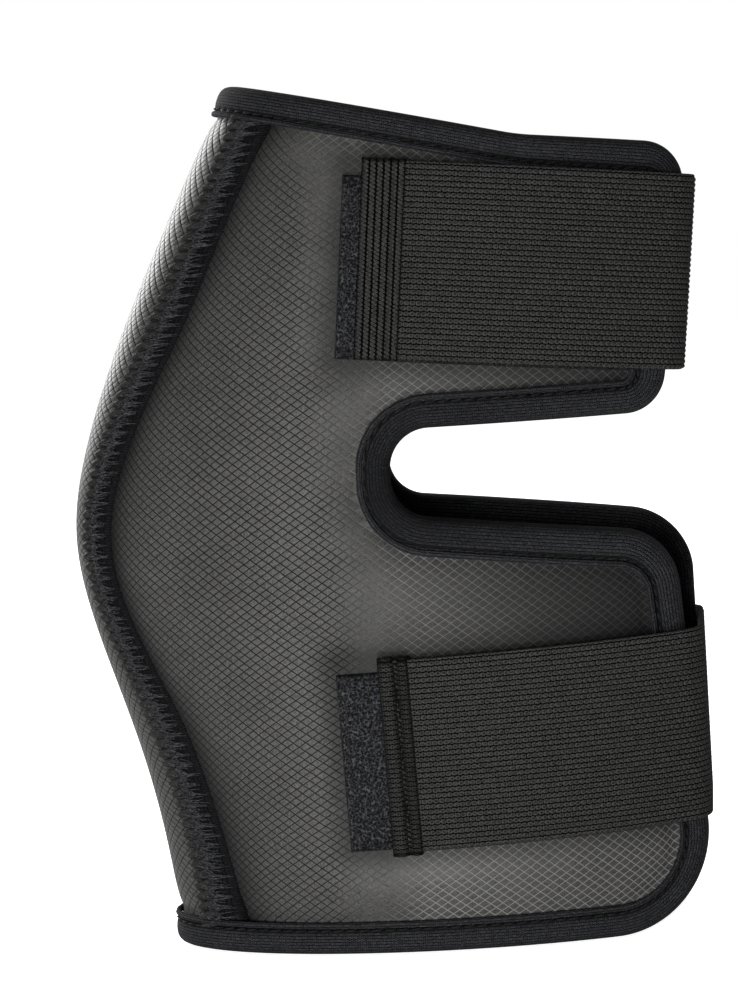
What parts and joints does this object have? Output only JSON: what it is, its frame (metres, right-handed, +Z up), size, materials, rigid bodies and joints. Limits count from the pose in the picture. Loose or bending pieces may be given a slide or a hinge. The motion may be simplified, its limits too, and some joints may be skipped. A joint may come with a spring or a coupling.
{
  "type": "elbow guard",
  "caption": "Pre-bent padded wrap-around joint guard in two foam-backed panels with a crook cut-out, edge binding and hook-and-loop elastic straps.",
  "frame": {"origin": "centre of the closed guard's bounding box, at the plane of the lower rim it stands on", "axes": "+Z up along the sleeve from the lower rim, +X from the spine to the open side, +Y from the front panel with the strap ends to the rear panel"},
  "size_m": [0.1667, 0.0827, 0.2269],
  "materials": {
    "cover": "satin embossed polyurethane leather",
    "foam": "matt closed-cell foam",
    "lining": "matt knit lining",
    "binding": "matt stretch knit tape",
    "thread": "polyester thread",
    "loop_pile": "brushed loop pile",
    "elastic": "knitted elastic webbing",
    "hook_tab": "moulded hooks"
  },
  "bodies": {
    "lower_shell": {"lower_front_cover": "cover", "lower_rear_cover": "cover", "lower_front_foam": "foam", "lower_rear_foam": "foam", "lower_front_lining": "lining", "lower_rear_lining": "lining", "bottom_binding": "binding", "lower_front_flap_binding": "binding", "lower_rear_flap_binding": "binding", "lower_edge_welt": "binding", "lower_spine_seam_tape": "binding", "lower_spine_seam_braid": "thread", "lower_spine_seam_zigzag": "thread", "lower_loop_patch": "loop_pile", "lower_patch_stitching": "thread", "lower_strap_anchor": "elastic", "lower_anchor_stitching": "thread"},
    "upper_shell": {"upper_front_cover": "cover", "upper_rear_cover": "cover", "upper_front_foam": "foam", "upper_rear_foam": "foam", "upper_front_lining": "lining", "upper_rear_lining": "lining", "top_binding": "binding", "upper_front_flap_binding": "binding", "upper_rear_flap_binding": "binding", "upper_edge_welt": "binding", "upper_spine_seam_tape": "binding", "upper_spine_seam_braid": "thread", "upper_spine_seam_zigzag": "thread", "upper_loop_patch": "loop_pile", "upper_patch_stitching": "thread", "upper_strap_anchor": "elastic", "upper_anchor_stitching": "thread"},
    "lower_strap": {"lower_strap_band": "elastic"},
    "lower_strap_tip": {"lower_strap_end": "elastic", "lower_strap_hem": "elastic", "lower_hook_tab": "hook_tab"},
    "upper_strap": {"upper_strap_band": "elastic"},
    "upper_strap_tip": {"upper_strap_end": "elastic", "upper_strap_hem": "elastic", "upper_hook_tab": "hook_tab"}
  },
  "joints": [
    {"name": "elbow_flex", "type": "hinge", "parent": "lower_shell", "child": "upper_shell", "pos_m": [0.0008, 0, 0.125], "axis": [0, 1, 0], "range_deg": [0, 15], "stiffness_Nm_per_rad": 0.6},
    {"name": "lower_strap_swing", "type": "hinge", "parent": "lower_shell", "child": "lower_strap", "pos_m": [0.07722, 0.02635, 0.054], "axis": [0.0023, 0.0214, 0.9998], "range_deg": [0, 90]},
    {"name": "lower_strap_peel", "type": "hinge", "parent": "lower_strap", "child": "lower_strap_tip", "pos_m": [0.0715, -0.02712, 0.054], "axis": [-0.0026, -0.024, 0.9997], "range_deg": [0, 90]},
    {"name": "upper_strap_swing", "type": "hinge", "parent": "upper_shell", "child": "upper_strap", "pos_m": [0.07383, 0.03023, 0.1735], "axis": [0.1132, -0.0301, 0.9931], "range_deg": [0, 90]},
    {"name": "upper_strap_peel", "type": "hinge", "parent": "upper_strap", "child": "upper_strap_tip", "pos_m": [0.07383, -0.02803, 0.1735], "axis": [0.1132, 0.0301, 0.9931], "range_deg": [0, 90]}
  ]
}
